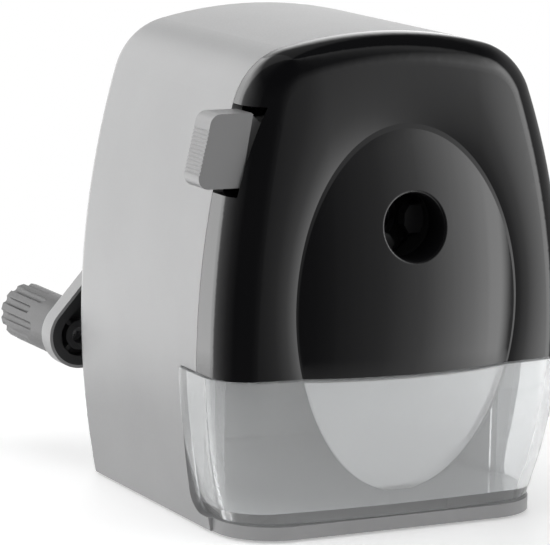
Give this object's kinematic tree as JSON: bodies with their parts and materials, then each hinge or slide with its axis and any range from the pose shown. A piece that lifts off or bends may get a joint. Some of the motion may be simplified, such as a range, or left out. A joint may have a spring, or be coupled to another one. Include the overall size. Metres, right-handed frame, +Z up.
{
  "type": "pencil sharpener",
  "caption": "Hand-crank desk pencil sharpener: arched gray housing, black pull-out front with a pencil hole and side clamp button, clear shavings drawer, rear crank.",
  "frame": {"origin": "centre of the base footprint on the table, which is the centre of the rubber foot ring's lower face", "axes": "+Z up; the pencil goes in along +Y, so -Y is the front and the crank is at the +Y end; +X is to the right of someone facing the front"},
  "size_m": [0.089, 0.1176, 0.1057],
  "materials": {
    "housing_gray": "satin moulded ABS, light gray",
    "cover_black": "polished black ABS",
    "clear_plastic": "clear polystyrene",
    "lever_gray": "satin mid-gray plastic",
    "crank_gray": "satin light-gray plastic",
    "crank_dark": "matt dark-gray plastic",
    "knob_dark": "matt dark-gray plastic",
    "inner_plastic": "matt black acetal",
    "jaw_plastic": "matt dark acetal",
    "steel": "turned steel",
    "spring_steel": "drawn spring steel",
    "cutter_steel": "hardened tool steel",
    "cast_zinc": "die-cast metal",
    "rubber": "matt black rubber"
  },
  "bodies": {
    "housing": {"housing_shell": "housing_gray", "foot_ring": "rubber", "mechanism_frame": "inner_plastic", "frame_screws": "steel", "ring_gear": "inner_plastic", "rear_cap": "crank_dark", "feed_spring_left": "spring_steel", "feed_spring_right": "spring_steel"},
    "front": {"front_cover": "cover_black", "chuck_body": "inner_plastic", "chuck_screws": "steel", "cam_retainer": "steel", "retainer_screws": "steel", "guide_rod_left": "steel", "guide_rod_right": "steel", "rod_clips": "spring_steel", "lever_spring": "spring_steel"},
    "cam": {"cam_ring": "jaw_plastic"},
    "lever": {"clamp_lever": "lever_gray"},
    "jaw_right": {"jaw_1": "jaw_plastic"},
    "jaw_upper": {"jaw_2": "jaw_plastic"},
    "jaw_lower": {"jaw_3": "jaw_plastic"},
    "head": {"cutter_carrier": "cast_zinc", "cutter_axle": "steel", "axle_clip": "spring_steel", "crank_shaft": "steel", "crank_arm": "crank_gray", "crank_arm_insert": "crank_dark", "crank_screw": "steel", "knob_pin": "steel", "pin_clip": "spring_steel"},
    "cutter": {"helical_cutter": "cutter_steel", "cutter_pinion": "steel"},
    "knob": {"knob": "knob_dark", "knob_cap": "knob_dark"},
    "drawer": {"drawer": "clear_plastic"}
  },
  "joints": [
    {"name": "drawer_slide", "type": "slide", "parent": "housing", "child": "drawer", "axis": [0, -1, 0], "range_m": [0, 0.05]},
    {"name": "front_slide", "type": "slide", "parent": "housing", "child": "front", "axis": [0, -1, 0], "range_m": [0, 0.03], "stiffness_N_per_m": 120, "springref_m": -0.012, "deforming": ["feed_spring_left", "feed_spring_right"]},
    {"name": "lever_press", "type": "slide", "parent": "front", "child": "lever", "axis": [1, 0, 0], "range_m": [0, 0.004], "stiffness_N_per_m": 400, "springref_m": -0.003, "deforming": ["lever_spring"]},
    {"name": "cam_turn", "type": "hinge", "parent": "front", "child": "cam", "pos_m": [0, -0.0264, 0.0662], "axis": [0, 1, 0], "range_deg": [0, 12]},
    {"name": "jaw_right_slide", "type": "slide", "parent": "front", "child": "jaw_right", "axis": [1, 0, 0], "range_m": [0, 0.0025]},
    {"name": "jaw_upper_slide", "type": "slide", "parent": "front", "child": "jaw_upper", "axis": [-0.5, 0, 0.866], "range_m": [0, 0.0025]},
    {"name": "jaw_lower_slide", "type": "slide", "parent": "front", "child": "jaw_lower", "axis": [-0.5, 0, -0.866], "range_m": [0, 0.0025]},
    {"name": "crank_spin", "type": "hinge", "parent": "housing", "child": "head", "pos_m": [0, 0.0437, 0.0662], "axis": [0, 1, 0], "continuous": true},
    {"name": "cutter_spin", "type": "hinge", "parent": "head", "child": "cutter", "pos_m": [0, -0.0115, 0.05356], "axis": [0, 0.9799, 0.1994], "continuous": true},
    {"name": "knob_spin", "type": "hinge", "parent": "head", "child": "knob", "pos_m": [-0.0381, 0.065, 0.0303], "axis": [0, 1, 0], "continuous": true}
  ],
  "couplings": [
    {"joint": "cam_turn", "follows": "lever_press", "rad_per_m": 51.282},
    {"joint": "jaw_right_slide", "follows": "lever_press", "ratio": 0.625},
    {"joint": "jaw_upper_slide", "follows": "lever_press", "ratio": 0.625},
    {"joint": "jaw_lower_slide", "follows": "lever_press", "ratio": 0.625},
    {"joint": "cutter_spin", "follows": "crank_spin", "ratio": -3.3333}
  ]
}
